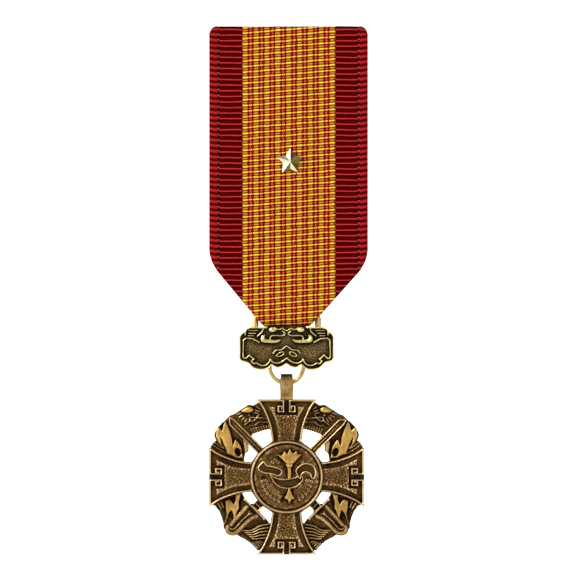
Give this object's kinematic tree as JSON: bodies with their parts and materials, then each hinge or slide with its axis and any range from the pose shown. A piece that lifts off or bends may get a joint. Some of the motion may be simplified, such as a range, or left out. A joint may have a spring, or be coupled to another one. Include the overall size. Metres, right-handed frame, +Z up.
{
  "type": "service medal",
  "caption": "Miniature service medal: striped ribbon with a star on a pin brooch, ornamental suspension plate, split ring, and a flared cross with crossed swords on an openwork wreath.",
  "frame": {"origin": "middle of the straight length of the brooch pin, behind the ribbon's top", "axes": "+Z up along the ribbon, +X to the right seen from the front, the front of the medal faces -Y"},
  "size_m": [0.0174, 0.0035, 0.0581],
  "materials": {
    "ribbon": "woven",
    "thread": "thread",
    "nickel": "satin",
    "gold": "polished",
    "light_bronze": "antique",
    "dark_bronze": "antique"
  },
  "bodies": {
    "brooch": {"ribbon": "ribbon", "ribbon_stitches": "thread", "brooch_plate": "nickel", "hinge_bracket": "nickel", "hinge_rivet": "nickel", "catch_housing": "nickel", "star_device": "gold", "star_prongs": "gold"},
    "pin": {"pin_stem": "nickel"},
    "lock": {"catch_lock": "nickel"},
    "hanger": {"ribbon_loop": "light_bronze", "suspension_plate": "dark_bronze", "ring_lug": "light_bronze"},
    "ring": {"split_ring": "light_bronze"},
    "pendant": {"bail": "light_bronze", "openwork_wreath": "dark_bronze", "sword_left": "dark_bronze", "sword_right": "dark_bronze", "cross": "dark_bronze", "centre_disc": "dark_bronze", "disc_rim": "light_bronze", "core_rivet": "light_bronze"}
  },
  "joints": [
    {"name": "pin_hinge", "type": "hinge", "parent": "brooch", "child": "pin", "pos_m": [-0.00542, 0, 0], "axis": [0, 0, 1], "range_deg": [0, 80]},
    {"name": "catch_turn", "type": "hinge", "parent": "brooch", "child": "lock", "pos_m": [0.006, 0, 0], "axis": [-1, 0, 0], "range_deg": [0, 100]},
    {"name": "hanger_swing", "type": "hinge", "parent": "brooch", "child": "hanger", "pos_m": [-0.0002, -0.00065, -0.02773], "axis": [1, 0, 0], "range_deg": [-40, 40]},
    {"name": "ring_turn", "type": "hinge", "parent": "hanger", "child": "ring", "pos_m": [-0.0002, -0.00045, -0.0334], "axis": [0, 1, 0], "range_deg": [-25, 25]},
    {"name": "pendant_swing", "type": "hinge", "parent": "ring", "child": "pendant", "pos_m": [-0.0002, -0.00045, -0.03526], "axis": [1, 0, 0], "range_deg": [-55, 55]}
  ]
}
